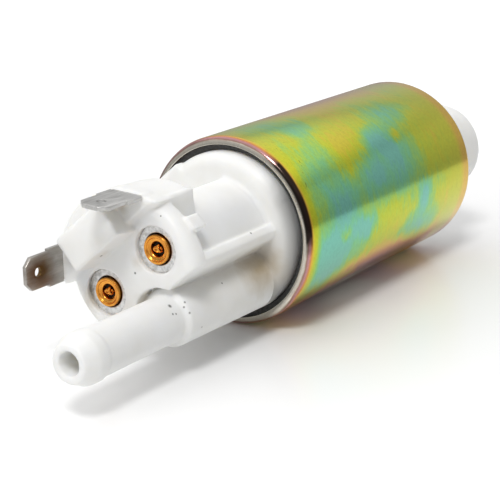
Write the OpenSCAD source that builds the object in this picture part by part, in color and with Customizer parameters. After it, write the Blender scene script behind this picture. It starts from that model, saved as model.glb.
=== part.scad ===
// Electric in-tank fuel pump, lying on its can: the outlet end is at -Y, the inlet end at +Y.
// Origin: on the pump's axis, half way along the can. Each piece is drawn upright, with
// local Z up through the outlet and zero at the can's outlet lip, and place() lays it down.

/* [Can] */
// Outer diameter of the steel can
can_d = 38; // [37.4:0.2:42]
// Length of the can over both rolled lips
can_l = 69.8; // [68:0.2:84]
// Wall of the can
can_wall = 1; // [0.8:0.05:1.1]
// Radius of the roll at each end
roll_r = 1.5; // [1.3:0.1:1.8]
// How far each lip turns in over its seal
lip_in = 1.6; // [1.4:0.05:1.8]

/* [Outlet cap] */
// Turn of the cap in the can, from level
cap_roll = 41; // [0:1:90]
// Gap between the cap's visible disc and the can's lip
disc_gap = 1.25; // [1:0.05:1.8]
// Height of the disc's face over the lip
disc_rise = 2.6; // [1.8:0.1:3.2]
// Depth of the cap inside the can
cap_depth = 7; // [6:0.25:8]
// Diameter of the neck
neck_d = 23.2; // [22.6:0.1:24]
// Distance from the axis to the flat on top of the neck
neck_top = 8.2; // [7.6:0.1:9]
// Fillet between the neck and the disc
neck_fillet = 0.8; // [0.4:0.1:1.2]
// Distance from the lip to the head's front face
head_h = 31; // [29:0.5:34]
// Thickness of the head plate
head_t = 4; // [3:0.25:5]
// Diameter of the head plate
head_d = 29.2; // [28:0.2:31]
// Distance from the axis to the flat under the head
flat_s = 7.1; // [6.8:0.05:7.3]
// Rounding of the head's front edge
head_round = 2.4; // [1.2:0.1:2.8]
// Thickness of the ledge under the neck
ledge_t = 2.5; // [1.5:0.1:3]
// Width of the ledge under the neck
ledge_w = 23.6; // [22.8:0.2:25]
// Width of the key on the disc's rim
key_w = 8; // [5:0.5:10]
// Distance from the axis to the top of the key
key_s = 16.5; // [15.8:0.1:16.8]

/* [Terminal block] */
// Distance from the axis to the foot of the insulating wall
wall_s = 5.9; // [5.6:0.1:6.2]
// Height of the block over the head's face
block_rise = 1.4; // [0.8:0.1:2]
// Height of the centre block over the head's face
centre_rise = 5; // [3.5:0.25:7]
// Width of the centre block
centre_w = 13.2; // [12:0.2:14]
// Diameter of the block's rim
block_d = 31.2; // [31:0.1:31.8]
// Length of the block along the neck
block_l = 12.4; // [10:0.4:15]
// How much the block's rim draws in towards the can
block_draft = 0.6; // [0.3:0.1:0.8]
// How far the webs under the block's ends run down the neck
web_l = 3.6; // [2:0.2:4]
// Top of the centre block from the axis
centre_top = 12.6; // [11.5:0.1:13.5]

/* [Terminals] */
// Width of each blade
blade_w = 6.3; // [4.8:0.1:6.5]
// Thickness of each blade
blade_t = 0.8; // [0.6:0.1:1]
// Length of blade that stands out of the block
blade_l = 10.2; // [8:0.2:13]
// Width of each blade at its shoulders
shoulder_w = 7.2; // [6.8:0.1:7.6]
// Length from the root to the shoulders
shoulder_l = 4; // [2:0.2:5]
// Diameter of the hole in each blade
blade_hole = 1.7; // [1.2:0.1:2]
// Distance of each blade from the axis
blade_r = 14.8; // [14.4:0.1:14.9]
// Angle of the upper blade from the middle of the block
upper_ang = 44; // [42:1:50]
// Angle of the lower blade from the middle of the block
lower_ang = 50; // [44:1:52]

/* [Outlet nipple] */
// Distance of the nipple from the pump's axis
nip_s = 10.6; // [10.2:0.1:11]
// Diameter of the nipple's tube
nip_d = 9; // [8.4:0.1:9.4]
// Diameter of the nipple's bore
nip_bore = 4.4; // [3.6:0.2:6]
// Distance from the lip to the tip of the nipple
nip_h = 57; // [50:1:64]
// Diameter of the bead that holds the hose
bead_d = 9.6; // [9.5:0.1:10.4]
// Length of the bead's land
bead_l = 2.4; // [2:0.2:3]
// Diameter of the boss where it meets the head
boss_d = 11; // [10.6:0.1:11.4]
// Diameter of the boss at its foot
boss_foot_d = 11.6; // [11.4:0.1:12]
// Distance the boss stops short of the head's face
boss_short = 1.7; // [1:0.1:2.5]
// Gap between the boss and the notch in the head
notch_gap = 0.55; // [0.4:0.05:0.8]

/* [Brush gear] */
// Distance of each brush from the axis
brush_off = 7.55; // [7.4:0.05:7.7]
// Diameter of each brush well
well_d = 6; // [5.6:0.1:6.2]
// Outer diameter of each contact ring
ring_d = 8.7; // [8.2:0.1:8.9]
// Thickness of each contact ring
ring_t = 0.8; // [0.6:0.1:1]
// Depth of the ring under the head's face
ring_sink = 1; // [0.4:0.1:1.2]
// Depth of the copper plug's face under the head's face
plug_sink = 0.35; // [0.2:0.05:0.6]
// Diameter of the copper plug's face
plug_d = 5.5; // [5:0.05:5.5]
// Length of each carbon brush
brush_l = 12; // [9:0.5:14]
// Running clearance round a brush
brush_clear = 0.08; // [0.05:0.01:0.1]
// Wire of each brush spring
spring_wire = 0.4; // [0.3:0.05:0.5]
// Turns of each brush spring
spring_turns = 9; // [6:1:12]
// Diameter of each shunt wire
shunt_d = 0.9; // [0.7:0.1:1.1]

/* [Check valve] */
// Diameter of the valve chamber in the boss
valve_d = 7.2; // [6.8:0.1:7.6]
// Distance from the lip to the top of the chamber
valve_h = 12; // [10:0.5:16]
// Length of the valve seat
seat_l = 4; // [3:0.25:5]
// Bore of the valve seat
seat_bore = 3.6; // [3:0.2:4]
// Gap between the poppet's head and its chamber
poppet_gap = 0.3; // [0.25:0.05:0.45]
// Lift of the poppet
poppet_lift = 2; // [1:0.25:3]

/* [Rotor] */
// Diameter of the shaft
shaft_d = 3.2; // [3:0.1:3.6]
// Running clearance of the shaft in its bearings
shaft_clear = 0.03; // [0.01:0.01:0.06]
// Air gap between the armature core and the magnets
air_gap = 0.75; // [0.4:0.05:1]
// Space between the windings and the pump plate
end_gap = 3.6; // [1:0.2:5]
// Slots in the core
core_slots = 8; // [6:1:10]
// How far the commutator's face stays inside the core's rim
comm_in = 0.7; // [0.4:0.1:0.9]
// Thickness of the commutator
comm_t = 3.4; // [3:0.1:4]
// Diameter of the bearing bushes
bush_d = 8; // [7:0.2:8]
// Length of the bearing bushes
bush_l = 4.6; // [4:0.2:5]

/* [Magnets] */
// Thickness of each magnet
mag_t = 5.6; // [5:0.1:5.8]
// How much longer each magnet is than the core
mag_over = 6; // [0:0.5:7]
// Angle that each magnet covers
mag_ang = 138; // [120:2:144]

/* [Pump stage] */
// Rim of the pump plate round the impeller
imp_rim = 3.95; // [3:0.05:5]
// Thickness of the impeller
imp_t = 4; // [3:0.1:4.4]
// Vanes round the impeller
imp_vanes = 30; // [20:2:36]
// Depth of the vane pockets
vane_l = 2.6; // [2:0.1:3.2]
// Clearance round the impeller
imp_clear = 0.1; // [0.08:0.01:0.15]
// Thickness of the pump plate behind the impeller
plate_t = 6; // [5.4:0.1:6.6]
// Thickness of the inlet cover inside the can
cover_t = 6.4; // [6:0.1:7.4]

/* [Inlet] */
// Diameter of the inlet stub
stub_d = 20; // [18:0.5:21]
// Bore of the inlet stub
stub_bore = 14; // [12:0.5:16]
// Length of the stub beyond the can
stub_l = 14.5; // [10:0.5:18]
// Distance of the stub from the axis
stub_off = 4.8; // [3:0.1:5.2]
// Direction of the stub from the line of the brushes
stub_ang = -20; // [-90:5:90]
// Diameter of the inlet port
port_d = 4.4; // [3:0.2:5]

/* [Seals] */
// Thickness of each seal
seal_t = 2; // [1.6:0.1:2.4]
// Play between pieces that are pushed together
fit = 0.05; // [0.02:0.01:0.08]

/* [Hidden] */
$fn = 64;
e = 0.01;
can_r = can_d / 2;
can_ri = can_r - can_wall;
lip_r = can_r - lip_in;
roll_ri = roll_r - can_wall;
disc_r = lip_r - disc_gap;
neck_r = neck_d / 2;
in_r = can_ri - fit;
seal_z = -can_wall - seal_t;
head_z = head_h - head_t;
block_z = head_h + block_rise;
centre_z = head_h + centre_rise;
block_z0 = block_z - block_l;
wall_lean = 1;
centre_lean = 0.5;
well_r = well_d / 2;
ring_z = head_h - ring_sink;
brush_r = well_r - brush_clear;
comm_z = -cap_depth - 1;
brush_gap = 0.05;
brush_z = comm_z + brush_gap;
brush_top = brush_z + brush_l;
plug_flange = 1.4;
plug_z = ring_z - ring_t;
plug_z0 = plug_z - plug_flange;
plug_face = head_h - plug_sink;
spring_r = well_r - 0.45 - spring_wire / 2;
boss_z = head_h - boss_short;
bead_z = nip_h - 3 - bead_l;
valve_r = valve_d / 2;
seat_z = -cap_depth + seat_l;
poppet_r = valve_r - poppet_gap;
poppet_head = valve_d * 0.22;
stem_r = valve_d / 8;
stem_top = valve_h - poppet_lift - 0.5;
shaft_r = shaft_d / 2;
bush_r = bush_d / 2;
bush_z = -cap_depth;
comm_z1 = comm_z - comm_t;
ins_t = 1.2;
end_turn = 4;
core_z = comm_z1 - ins_t - end_turn;
mag_ri = can_ri - fit - mag_t;
core_r = mag_ri - air_gap;
comm_r = core_r - comm_in;
slot_s = core_r - 4.2;
slot_r = min(2.5, slot_s * 0.34);
clip_t = 0.5;
cover_z = -can_l + can_wall + seal_t + cover_t;
imp_z = cover_z + imp_t + 2 * imp_clear;
plate_z = imp_z + plate_t;
core_z1 = plate_z + end_gap + end_turn;
core_l = core_z - core_z1;
mag_l = core_l + mag_over;
mag_z = core_z + mag_over / 2;
imp_r = in_r - imp_rim;
track_r = imp_r - vane_l / 2;
disc_z1 = -can_l - 1.5;
stub_z = -can_l - stub_l;

// Lays a piece down and turns it as the cap sits in the can
module place() {
  rotate([0, -cap_roll, 0])
    rotate([90, 0, 0])
      translate([0, 0, can_l / 2])
        children();
}

// Cylinder from height z0 to height z1
module rod(r, z0, z1, r1 = -1) {
  translate([0, 0, z0])
    cylinder(r1 = r, r2 = r1 < 0 ? r : r1, h = z1 - z0);
}

// Ring from height z0 to height z1
module tube(ro, ri, z0, z1) {
  difference() {
    rod(ro, z0, z1);
    rod(ri, z0 - 1, z1 + 1);
  }
}

// Disc with a rounded upper edge
module round_disc(r, z0, z1, rr) {
  h = z1 - z0;
  translate([0, 0, z0])
    rotate_extrude() {
      square([r, h - rr]);
      square([r - rr, h]);
      translate([r - rr, h - rr])
        circle(r = rr);
    }
}

// Point of a helix with its ends closed up
function helix_a(i, n, turns) = 360 * turns * i / n;
function helix_z(i, n, h, w) =
  let (u = i / n, k = 0.12)
  u < k ? w * u / k / 2 : u > 1 - k ? h - w * (1 - u) / k / 2
    : w / 2 + (h - w) * (u - k) / (1 - 2 * k);

// Coil spring from height z0 to height z1
module coil(r, w, z0, z1, turns) {
  sides = 6;
  n = turns * 14;
  h = z1 - z0 - w;
  pts = [for (i = [0 : n], j = [0 : sides - 1])
    let (a = helix_a(i, n, turns), b = 360 * j / sides, q = r + w / 2 * cos(b))
    [q * cos(a), q * sin(a), z0 + w / 2 + helix_z(i, n, h, w) + w / 2 * sin(b)]];
  side_faces = [for (i = [0 : n - 1], j = [0 : sides - 1])
    let (a = i * sides + j, b = i * sides + (j + 1) % sides)
    [a, a + sides, b + sides, b]];
  ends = [[for (j = [0 : sides - 1]) j], [for (j = [sides - 1 : -1 : 0]) n * sides + j]];
  polyhedron(points = pts, faces = concat(side_faces, ends), convexity = 10);
}

// Steel tube with both ends rolled in over the seals
module can() {
  color("darkkhaki")
    place()
      rotate_extrude($fn = 128)
        difference() {
          union() {
            translate([lip_r, -can_l + roll_r])
              square([lip_in, can_l - 2 * roll_r]);
            translate([lip_r, -can_l])
              square([lip_in - roll_r, can_l]);
            for (z = [-roll_r, -can_l + roll_r])
              translate([can_r - roll_r, z])
                circle(r = roll_r);
          }
          translate([0, -can_l + roll_r])
            square([can_ri, can_l - 2 * roll_r]);
          translate([0, -can_l + can_wall])
            square([can_r - roll_r, can_l - 2 * can_wall]);
          for (z = [-roll_r, -can_l + roll_r])
            translate([can_r - roll_r, z])
              circle(r = roll_ri);
          translate([0, -can_l - 1])
            square([lip_r, can_l + 2]);
        }
}

// Half space with s above a value
module above(s, z0, z1) {
  translate([-can_d, s, z0])
    cube([2 * can_d, can_d, z1 - z0]);
}

// Turns a piece to the blade of one side
module at_blade(side) {
  rotate([0, 0, 90 - (side > 0 ? upper_ang : -lower_ang)])
    children();
}

// Ring, strap and blade root of a terminal, grown by c, with its ring and root drawn out to top
module terminal_shape(side, c, top) {
  ang = side > 0 ? upper_ang : lower_ang;
  difference() {
    union() {
      translate([side * brush_off, 0, 0])
        rod(ring_d / 2 + c, ring_z - ring_t - c, max(ring_z, top));
      intersection() {
        translate([side * (brush_off + 1.9) - 2.2 - c, 0, ring_z - ring_t - c])
          cube([4.4 + 2 * c, blade_r * cos(ang) + blade_w / 3, ring_t + 2 * c]);
        at_blade(side)
          translate([0, -blade_r, 0])
            cube([blade_r, 2 * blade_r, head_h]);
      }
    }
    if (c == 0)
      translate([side * brush_off, 0, 0])
        rod(well_r, ring_z - 2 * ring_t, ring_z + 1);
  }
  at_blade(side)
    translate([blade_r - blade_t / 2 - c, -blade_w / 2 - c, ring_z - ring_t - c])
      cube([blade_t + 2 * c, blade_w + 2 * c, max(block_z + 0.6, top) - ring_z + ring_t + c]);
}

// Flat outline of a blade, root at zero, with shoulders and a bevelled tip
module blade_outline() {
  b = 1.5;
  difference() {
    polygon([[0, -shoulder_w / 2], [shoulder_l, -shoulder_w / 2], [shoulder_l, -blade_w / 2],
      [blade_l - b, -blade_w / 2], [blade_l, -blade_w / 2 + b], [blade_l, blade_w / 2 - b],
      [blade_l - b, blade_w / 2], [shoulder_l, blade_w / 2], [shoulder_l, shoulder_w / 2],
      [0, shoulder_w / 2]]);
    translate([blade_l - 3.3, 0])
      circle(d = blade_hole);
  }
}

// Terminal stamping: contact ring, strap and blade in one piece
module terminal(side) {
  color("silver")
    place() {
      terminal_shape(side, 0, 0);
      at_blade(side)
        translate([blade_r + blade_t / 2, 0, block_z])
          rotate([0, -90, 0])
            linear_extrude(blade_t)
              blade_outline();
    }
}

// Outlet cap: one moulding with disc, neck, head, terminal block and nipple
module outlet_cap() {
  color("white")
    place()
      difference() {
        union() {
          rod(in_r, -cap_depth, seal_z);
          round_disc(disc_r, seal_z - e, disc_rise, disc_rise);
          cap_neck();
          cap_key();
          cap_head();
          cap_block();
          cap_nipple();
        }
        cap_bores();
      }
}

// Neck over both brush wells, flat above and below, with a ledge on each side
module cap_neck() {
  intersection() {
    union() {
      rod(neck_r, 0.5, head_z + 1);
      rotate_extrude()
        difference() {
          translate([neck_r - 0.5, disc_rise - 0.2])
            square([neck_fillet + 0.5, neck_fillet + 0.2]);
          translate([neck_r + neck_fillet, disc_rise + neck_fillet])
            circle(r = neck_fillet);
        }
    }
    above(-flat_s, 0, head_h);
    mirror([0, 1, 0])
      above(-neck_top, 0, head_h);
  }
  translate([0, 0, 0.5])
    linear_extrude(head_z)
      polygon([[-ledge_w / 2, -flat_s + ledge_t], [-ledge_w / 2, -flat_s + 0.8],
        [1.4 - ledge_w / 2, -flat_s], [ledge_w / 2 - 1.4, -flat_s],
        [ledge_w / 2, -flat_s + 0.8], [ledge_w / 2, -flat_s + ledge_t]]);
}

// Key on the disc's rim that sets the cap's turn
module cap_key() {
  intersection() {
    translate([0.7 - key_w, neck_top, 0.3])
      cube([key_w, key_s - neck_top, disc_rise - 0.3]);
    rod(lip_r - 0.2, 0, disc_rise + 1);
  }
}

// Head plate with a flat below, a notch for the nipple and two catches
module cap_head() {
  difference() {
    intersection() {
      round_disc(head_d / 2, head_z, head_h, head_round);
      above(-flat_s, 0, head_h + 1);
    }
    translate([0, -nip_s, 0])
      rod(boss_d / 2 + notch_gap, head_z + 0.5, head_h + 1);
  }
  for (turned = [0, 1])
    mirror([turned, 0, 0])
      translate([head_d / 2 - 0.2, 1.6, 0])
        rotate([90, 0, 0])
          linear_extrude(2.9)
            polygon([[-1.2, head_z - 2.8], [0.7, head_z - 2.8], [1, head_z - 2.2],
              [1, head_z + 1], [-1.2, head_z + 1.8]]);
}

// Terminal block over the head: leaning insulating wall, webs under its ends, centre block
module cap_block() {
  br = block_d / 2;
  intersection() {
    rotate_extrude()
      polygon([[0, block_z0], [br - block_draft, block_z0], [br, block_z - 1],
        [br - 0.3, block_z - 0.3], [br - 1, block_z], [0, block_z]]);
    translate([-can_r, 0, 0])
      rotate([90, 0, 90])
        linear_extrude(can_d)
          polygon([[wall_s, head_h - 0.5], [wall_s, head_h], [wall_s + wall_lean, block_z + e],
            [can_r, block_z + e], [can_r, block_z0], [wall_s, block_z0]]);
  }
  for (turned = [0, 1])
    mirror([turned, 0, 0])
      translate([0, 0, block_z0])
        linear_extrude(head_z + 0.5 - block_z0)
          polygon([[neck_r - 2, wall_s + 1], [neck_r - 0.3, wall_s - web_l],
            [neck_r + 2.6, wall_s + 0.5], [neck_r + 2.4, wall_s + 1]]);
  translate([-centre_w / 2, 0, 0])
    rotate([90, 0, 90])
      linear_extrude(centre_w)
        polygon([[wall_s - 1, head_h - 0.5], [wall_s - 1, head_h],
          [wall_s - centre_lean, centre_z - 0.3], [wall_s - centre_lean + 0.3, centre_z],
          [centre_top - 0.6, centre_z], [centre_top, centre_z - 0.8],
          [centre_top, head_h - 0.5]]);
}

// Boss, tube and bead of the outlet nipple
module cap_nipple() {
  translate([0, -nip_s, 0]) {
    rod(boss_foot_d / 2, 0.3, boss_z, boss_d / 2);
    rod(boss_d / 2, boss_z - e, boss_z + 0.5, boss_d / 2 - 0.5);
    rod(nip_d / 2, boss_z, bead_z - 0.3);
    rod(nip_d / 2, bead_z - 0.3 - e, bead_z, bead_d / 2);
    rod(bead_d / 2, bead_z - e, bead_z + bead_l);
    rod(bead_d / 2, bead_z + bead_l - e, nip_h, nip_d / 2 - 1);
  }
}

// What is taken out of the cap: wells, terminal slots, bearing, valve and outlet bores
module cap_bores() {
  for (side = [-1, 1]) {
    translate([side * brush_off, 0, 0])
      rod(well_r, -cap_depth - 1, head_h + 1);
    terminal_shape(side, fit, centre_z + 1);
  }
  rod(bush_r, -cap_depth - 1, bush_z + bush_l);
  rod(shaft_r + 0.5, -cap_depth - 1, bush_z + bush_l + 1);
  translate([0, -nip_s, 0]) {
    rod(valve_r, -cap_depth - 1, valve_h);
    rod(nip_bore / 2, -cap_depth - 1, nip_h + 1);
  }
}

// Rubber seal squeezed under a rolled lip, its corner clear of the roll
module seal(turned) {
  c = roll_ri + fit;
  color("dimgray")
    place()
      translate([0, 0, turned ? -can_l : 0])
        mirror([0, 0, turned ? 1 : 0])
          rotate_extrude()
            polygon([[disc_r + fit, seal_z], [in_r, seal_z], [in_r, -can_wall - c],
              [in_r - c, -can_wall], [disc_r + fit, -can_wall]]);
}

module outlet_seal() {
  seal(false);
}

module inlet_seal() {
  seal(true);
}

module terminal_upper() {
  terminal(1);
}

module terminal_lower() {
  terminal(-1);
}

// Copper plug that closes a brush well, holds the spring and takes the shunt wire
module plug(side) {
  color("darkorange")
    place()
      translate([side * brush_off, 0, 0])
        difference() {
          union() {
            rod(well_r - fit, plug_z0, plug_z);
            rod(plug_d / 2, plug_z - e, plug_face);
          }
          difference() {
            rod(plug_d / 2 - 1.2, plug_face - 0.8, plug_face + 0.2, plug_d / 2 - 0.9);
            rod(0.7, plug_z, plug_face - 0.2);
          }
        }
}

module plug_upper() {
  plug(1);
}

module plug_lower() {
  plug(-1);
}

// Round carbon brush that presses on the commutator's face
module brush(side) {
  color("dimgray")
    place()
      translate([side * brush_off, 0, 0])
        difference() {
          rod(brush_r, brush_z, brush_top);
          rod(shunt_d / 2, brush_top - 2, brush_top + 1);
        }
}

module brush_upper() {
  brush(1);
}

module brush_lower() {
  brush(-1);
}

// Spring behind a brush
module brush_spring(side) {
  color("lightgray")
    place()
      translate([side * brush_off, 0, 0])
        coil(spring_r, spring_wire, brush_top, plug_z0, spring_turns);
}

module spring_upper() {
  brush_spring(1);
}

module spring_lower() {
  brush_spring(-1);
}

// Shunt wire from a plug through the spring to the brush
module shunt(side) {
  color("peru")
    place()
      translate([side * brush_off, 0, 0])
        rod(shunt_d / 2 - 0.02, brush_top - 2, plug_z0);
}

module shunt_upper() {
  shunt(1);
}

module shunt_lower() {
  shunt(-1);
}

// Seat of the outlet check valve, pressed into the boss from inside
module valve_seat() {
  color("gold")
    place()
      translate([0, -nip_s, 0])
        tube(valve_r - fit, seat_bore / 2, -cap_depth, seat_z);
}

// Poppet of the check valve: cone, head and stem
module valve_poppet() {
  color("ivory")
    place()
      translate([0, -nip_s, 0]) {
        rod(seat_bore / 2 - 0.3, seat_z - seat_l * 0.3, seat_z + 0.1, seat_bore / 2 - 0.1);
        rod(poppet_r, seat_z + fit, seat_z + poppet_head);
        rod(stem_r, seat_z + poppet_head - e, stem_top);
      }
}

// Spring of the check valve
module valve_spring() {
  color("lightgray")
    place()
      translate([0, -nip_s, 0])
        coil(poppet_r - 0.4, 0.5, seat_z + poppet_head, valve_h, 6);
}

// Sintered bush in the cap
module front_bearing() {
  color("goldenrod")
    place()
      tube(bush_r - fit, shaft_r + shaft_clear, bush_z, bush_z + bush_l);
}

// Sintered bush in the pump plate
module rear_bearing() {
  color("goldenrod")
    place()
      tube(bush_r - fit, shaft_r + shaft_clear, plate_z - bush_l, plate_z);
}

// Shaft with a flat that drives the impeller
module shaft() {
  color("lightsteelblue")
    place()
      difference() {
        rod(shaft_r, cover_z + 0.15, bush_z + bush_l + 0.6);
        translate([shaft_r - 0.5, -5, cover_z - 1])
          cube([5, 10, imp_t + 2 * imp_clear + 1.6]);
      }
}

// Flat-face commutator with its segments
module commutator() {
  color("chocolate")
    place()
      difference() {
        union() {
          tube(comm_r, bush_r - 0.4, comm_z1 + 1, comm_z);
          tube(comm_r - 1, shaft_r, comm_z1 - ins_t, comm_z1 + 1 + e);
        }
        for (i = [0 : core_slots - 1])
          rotate([0, 0, 360 * (i + 0.5) / core_slots])
            translate([3, -0.25, comm_z1 + 1.4])
              cube([comm_r, 0.5, comm_t]);
      }
}

// Laminated core with round-bottomed slots for the windings
module armature_core() {
  color("slategray")
    place()
      translate([0, 0, core_z1])
        linear_extrude(core_l)
          difference() {
            circle(r = core_r);
            circle(r = shaft_r);
            for (i = [0 : core_slots - 1])
              rotate(360 * (i + 0.5) / core_slots) {
                translate([slot_s, 0])
                  circle(r = slot_r);
                translate([slot_s, -0.7])
                  square([core_r - slot_s + 1, 1.4]);
              }
          }
}

// Copper windings: a bar in each slot and a round bundle at each end
module windings() {
  color("sandybrown")
    place() {
      for (i = [0 : core_slots - 1])
        rotate([0, 0, 360 * (i + 0.5) / core_slots])
          translate([slot_s, 0, 0])
            rod(slot_r - 0.1, core_z1 - 1, core_z + 1);
      for (z = [core_z + end_turn / 2, core_z1 - end_turn / 2])
        rotate_extrude()
          difference() {
            union() {
              translate([core_r - 3.4, z])
                circle(r = end_turn / 2);
              translate([shaft_r + 2, z - end_turn / 2])
                square([core_r - 3.4 - shaft_r - 2, end_turn]);
            }
            square([shaft_r + 2, 1]);
          }
    }
}

// Arc magnet against the can
module magnet(side) {
  color("gray")
    place()
      rotate([0, 0, 90 * side - mag_ang / 2])
        rotate_extrude(angle = mag_ang)
          translate([mag_ri, mag_z - mag_l])
            square([mag_t, mag_l]);
}

module magnet_upper() {
  magnet(1);
}

module magnet_lower() {
  magnet(-1);
}

// Spring clip that wedges the two magnets apart
module clip(side) {
  gap = 180 - mag_ang;
  leg_l = 3.4;
  color("lightgray")
    place()
      rotate([0, 0, 90 - 90 * side - gap / 2 + 0.5])
        difference() {
          rotate_extrude(angle = gap - 1)
            translate([in_r - leg_l, mag_z - mag_l])
              square([leg_l, mag_l]);
          rotate([0, 0, 2])
            rotate_extrude(angle = gap - 5)
              translate([in_r - leg_l - 1, mag_z - mag_l - 1])
                square([leg_l + 1 - clip_t, mag_l + 2]);
        }
}

module clip_left() {
  clip(-1);
}

module clip_right() {
  clip(1);
}

// Pump plate: carries the rear bush and houses the impeller
module pump_plate() {
  color("silver")
    place()
      difference() {
        rod(in_r, cover_z, plate_z);
        rod(imp_r + imp_clear, cover_z - 1, imp_z);
        rod(bush_r, plate_z - bush_l, plate_z + 1);
        rod(shaft_r + 0.4, cover_z - 1, plate_z);
        rotate([0, 0, stub_ang + 30])
          rotate_extrude(angle = 290)
            translate([track_r, imp_z])
              circle(r = 1.2);
        rotate([0, 0, stub_ang - 42])
          translate([track_r, 0, 0])
            rod(1.5, imp_z - 1, plate_z + 1);
      }
}

// Impeller with vane pockets round its rim
module impeller() {
  color("saddlebrown")
    place()
      difference() {
        rod(imp_r, cover_z + imp_clear, imp_z - imp_clear);
        difference() {
          rod(shaft_r + 0.02, cover_z - 1, imp_z + 1);
          translate([shaft_r - 0.48, -5, cover_z - 1])
            cube([5, 10, imp_t + 4]);
        }
        for (i = [0 : imp_vanes - 1])
          rotate([0, 0, 360 * i / imp_vanes])
            translate([imp_r - vane_l, -0.75, cover_z - 1])
              cube([vane_l + 1, 1.5, imp_t + 4]);
      }
}

// Inlet cover: closes the pump stage, with the inlet stub outside
module inlet_cover() {
  color("white")
    place()
      difference() {
        union() {
          rod(in_r, -can_l + can_wall + seal_t, cover_z);
          mirror([0, 0, 1])
            round_disc(disc_r, can_l - can_wall - seal_t - 1, -disc_z1, 1.5);
          rotate([0, 0, stub_ang])
            translate([stub_off, 0, 0])
              mirror([0, 0, 1])
                round_disc(stub_d / 2, can_l, -stub_z, 1.2);
        }
        rotate([0, 0, stub_ang])
          translate([stub_off, 0, 0])
            rod(stub_bore / 2, stub_z - 1, -can_l + 1);
        rotate([0, 0, stub_ang])
          translate([stub_off + stub_bore / 2 - port_d / 2, 0, 0])
            rod(port_d / 2, stub_z - 1, cover_z + 1);
        rotate([0, 0, stub_ang])
          rotate_extrude(angle = 300)
            translate([track_r, cover_z])
              circle(r = 1.2);
      }
}

can();
outlet_cap();
outlet_seal();
terminal_upper();
terminal_lower();
plug_upper();
plug_lower();
brush_upper();
brush_lower();
spring_upper();
spring_lower();
shunt_upper();
shunt_lower();
valve_seat();
valve_poppet();
valve_spring();
front_bearing();
shaft();
commutator();
armature_core();
windings();
magnet_upper();
magnet_lower();
clip_left();
clip_right();
pump_plate();
rear_bearing();
impeller();
inlet_cover();
inlet_seal();
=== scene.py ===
import math

import bmesh
import bpy
from mathutils import Matrix, Vector


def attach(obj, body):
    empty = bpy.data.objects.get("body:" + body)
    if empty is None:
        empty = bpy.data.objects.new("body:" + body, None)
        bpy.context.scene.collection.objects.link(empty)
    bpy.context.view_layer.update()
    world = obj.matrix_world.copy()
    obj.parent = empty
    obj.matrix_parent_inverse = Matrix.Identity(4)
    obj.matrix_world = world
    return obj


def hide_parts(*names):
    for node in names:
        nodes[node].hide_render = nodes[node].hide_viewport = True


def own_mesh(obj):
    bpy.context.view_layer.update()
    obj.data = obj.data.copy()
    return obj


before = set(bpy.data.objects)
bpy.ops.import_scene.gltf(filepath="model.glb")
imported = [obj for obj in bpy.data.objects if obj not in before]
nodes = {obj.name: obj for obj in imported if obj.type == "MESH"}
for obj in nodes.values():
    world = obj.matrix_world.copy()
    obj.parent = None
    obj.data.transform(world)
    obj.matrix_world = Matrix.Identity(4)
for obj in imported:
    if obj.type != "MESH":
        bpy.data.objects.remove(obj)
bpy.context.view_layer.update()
scene = bpy.context.scene
mm = 0.001

# pump: the cap's turn and the can's length lay every piece down as in the model
pump = {"capTurn": 41, "canLength": 69.8, "canRadius": 19.0}
layDown = (Matrix.Rotation(math.radians(-pump["capTurn"]), 4, "Y")
           @ Matrix.Rotation(math.radians(90), 4, "X")
           @ Matrix.Translation((0, 0, pump["canLength"] / 2 * mm)))
print("frame loaded:", len(nodes), "nodes")


# node helpers
def newMaterial(name):
    mat = bpy.data.materials.new(name)
    mat.use_nodes = True
    mat.node_tree.nodes.clear()
    return mat, mat.node_tree


def addNode(tree, kind, **values):
    node = tree.nodes.new(kind)
    for key, value in values.items():
        setattr(node, key, value)
    return node


def setInputs(node, values):
    for key, value in values.items():
        node.inputs[key].default_value = value
    return node


def surface(tree, values):
    out = addNode(tree, "ShaderNodeOutputMaterial")
    shader = setInputs(addNode(tree, "ShaderNodeBsdfPrincipled"), values)
    tree.links.new(shader.outputs["BSDF"], out.inputs["Surface"])
    return shader


def objectCoords(tree, scale=(1, 1, 1), location=(0, 0, 0), rotation=(0, 0, 0)):
    coord = addNode(tree, "ShaderNodeTexCoord")
    mapping = setInputs(addNode(tree, "ShaderNodeMapping"),
                        {"Scale": scale, "Location": location, "Rotation": rotation})
    tree.links.new(coord.outputs["Object"], mapping.inputs["Vector"])
    return mapping.outputs["Vector"]


def noise(tree, vector, scale, detail=4.0, rough=0.55, distortion=0.0):
    node = setInputs(addNode(tree, "ShaderNodeTexNoise"),
                     {"Scale": scale, "Detail": detail, "Roughness": rough, "Distortion": distortion})
    tree.links.new(vector, node.inputs["Vector"])
    return node.outputs["Fac"]


def ramp(tree, value, stops, smooth=False):
    node = addNode(tree, "ShaderNodeValToRGB")
    if smooth:
        node.color_ramp.interpolation = "B_SPLINE"
    elements = node.color_ramp.elements
    while len(elements) < len(stops):
        elements.new(0.5)
    for element, (place, colour) in zip(elements, stops):
        element.position = place
        element.color = (*colour, 1) if isinstance(colour, tuple) else (colour, colour, colour, 1)
    tree.links.new(value, node.inputs["Fac"])
    return node.outputs["Color"]


def calc(tree, operation, a, b=0.0, c=0.0, clamp=False):
    node = addNode(tree, "ShaderNodeMath", operation=operation, use_clamp=clamp)
    for socket, value in zip(node.inputs, (a, b, c)):
        if isinstance(value, (int, float)):
            socket.default_value = value
        else:
            tree.links.new(value, socket)
    return node.outputs[0]


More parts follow.
